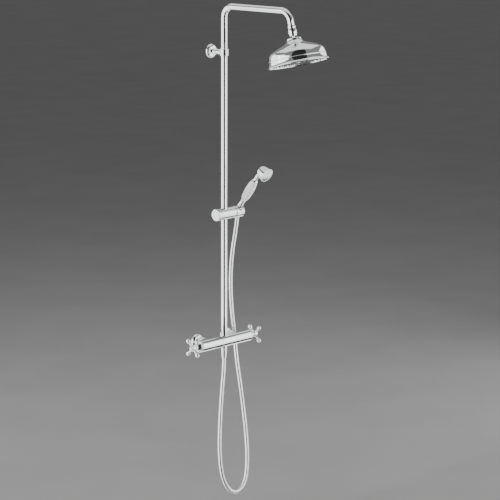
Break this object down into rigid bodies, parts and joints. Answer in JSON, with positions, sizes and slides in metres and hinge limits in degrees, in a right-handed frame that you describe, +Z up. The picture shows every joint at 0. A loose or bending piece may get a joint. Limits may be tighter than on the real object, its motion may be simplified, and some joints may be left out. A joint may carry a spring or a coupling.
{
  "type": "rainfall shower column",
  "caption": "Wall-mounted shower column: exposed bar valve with cross handles, riser with overhead rose, sliding handset holder and hose.",
  "frame": {"origin": "on the wall plane, midway between the two water inlets, at the height of the valve's axis", "axes": "+X to the right along the wall as seen from the room, +Y into the wall, +Z up along the riser"},
  "size_m": [0.344, 0.5162, 1.7964],
  "materials": {
    "chrome": "polished",
    "brass": "machined",
    "steel": "machined",
    "hose_metal": "polished spiral-wound metal",
    "porcelain": "glazed white",
    "rubber": "matt black",
    "nylon": "natural nylon",
    "silicone": "matt grey silicone"
  },
  "bodies": {
    "column": {"wall_union_left": "chrome", "wall_union_right": "chrome", "wall_rosette_left": "chrome", "wall_rosette_right": "chrome", "union_nut_left": "chrome", "union_nut_right": "chrome", "valve_body": "chrome", "bar_end_left": "chrome", "bar_end_right": "chrome", "hose_base_nut": "chrome", "riser_pipe": "chrome", "shower_arm": "chrome", "bracket_rosette": "chrome", "bracket_stem": "chrome", "bracket_clamp": "chrome", "arm_collar": "chrome", "ball_nut": "chrome", "diverter_cartridge": "brass", "temperature_cartridge": "brass", "riser_spigot": "brass", "pipe_joiner": "brass", "hose_outlet_nipple": "brass", "bracket_wall_base": "brass", "clamp_screw": "steel", "shower_hose": "hose_metal", "union_washer_left": "rubber", "union_washer_right": "rubber", "riser_o_ring": "rubber", "hose_base_washer": "rubber"},
    "diverter": {"diverter_spindle": "brass", "diverter_cross_handle": "chrome", "diverter_handle_screw": "steel", "diverter_index_button": "porcelain"},
    "temperature": {"temperature_spindle": "brass", "temperature_cross_handle": "chrome", "temperature_handle_screw": "steel", "temperature_index_button": "porcelain"},
    "carriage": {"slider_bush": "nylon"},
    "slider": {"slider_body": "chrome", "holder_friction_ring": "rubber"},
    "lock_knob": {"slider_lock_knob": "chrome", "slider_lock_screw": "steel"},
    "holder": {"handset_holder": "chrome", "holder_end_cap": "chrome"},
    "handset": {"handset_ferrule": "chrome", "handset_grip": "porcelain", "handset_core_tube": "brass", "handset_neck": "chrome", "handset_head": "chrome", "handset_spray_plate": "chrome", "handset_nozzle_mat": "silicone", "hose_top_cone": "chrome"},
    "ball_ring": {"ball_seat": "nylon"},
    "rose": {"swivel_ball": "chrome", "rose_bell": "chrome", "rose_lock_nut": "brass", "rose_spray_plate": "chrome", "rose_nozzle_mat": "silicone", "rose_gasket": "rubber"}
  },
  "joints": [
    {"name": "diverter_turn", "type": "hinge", "parent": "column", "child": "diverter", "pos_m": [-0.16, -0.065, 0], "axis": [1, 0, 0], "range_deg": [-90, 90]},
    {"name": "temperature_turn", "type": "hinge", "parent": "column", "child": "temperature", "pos_m": [0.16, -0.065, 0], "axis": [1, 0, 0], "range_deg": [-135, 135]},
    {"name": "slider_height", "type": "slide", "parent": "column", "child": "carriage", "axis": [0, 0, 1], "range_m": [-0.26, 0.34], "deforming": ["shower_hose"]},
    {"name": "slider_swivel", "type": "hinge", "parent": "carriage", "child": "slider", "pos_m": [0, -0.065, 0.462], "axis": [0, 0, 1], "range_deg": [-100, 20], "deforming": ["shower_hose"]},
    {"name": "lock_knob_turn", "type": "hinge", "parent": "slider", "child": "lock_knob", "pos_m": [-0.036, -0.065, 0.462], "axis": [1, 0, 0], "range_deg": [0, 270]},
    {"name": "holder_tilt", "type": "hinge", "parent": "slider", "child": "holder", "pos_m": [0.066, -0.065, 0.462], "axis": [1, 0, 0], "range_deg": [-36, 36], "deforming": ["shower_hose"]},
    {"name": "handset_lift", "type": "slide", "parent": "holder", "child": "handset", "axis": [0, -0.5878, 0.809], "range_m": [0, 0.08], "deforming": ["shower_hose"]},
    {"name": "rose_tilt", "type": "hinge", "parent": "column", "child": "ball_ring", "pos_m": [0, -0.3845, 1.12425], "axis": [1, 0, 0], "range_deg": [-12, 12]},
    {"name": "rose_sway", "type": "hinge", "parent": "ball_ring", "child": "rose", "pos_m": [0, -0.3845, 1.12425], "axis": [0, 0.9659, -0.2588], "range_deg": [-12, 12]}
  ]
}
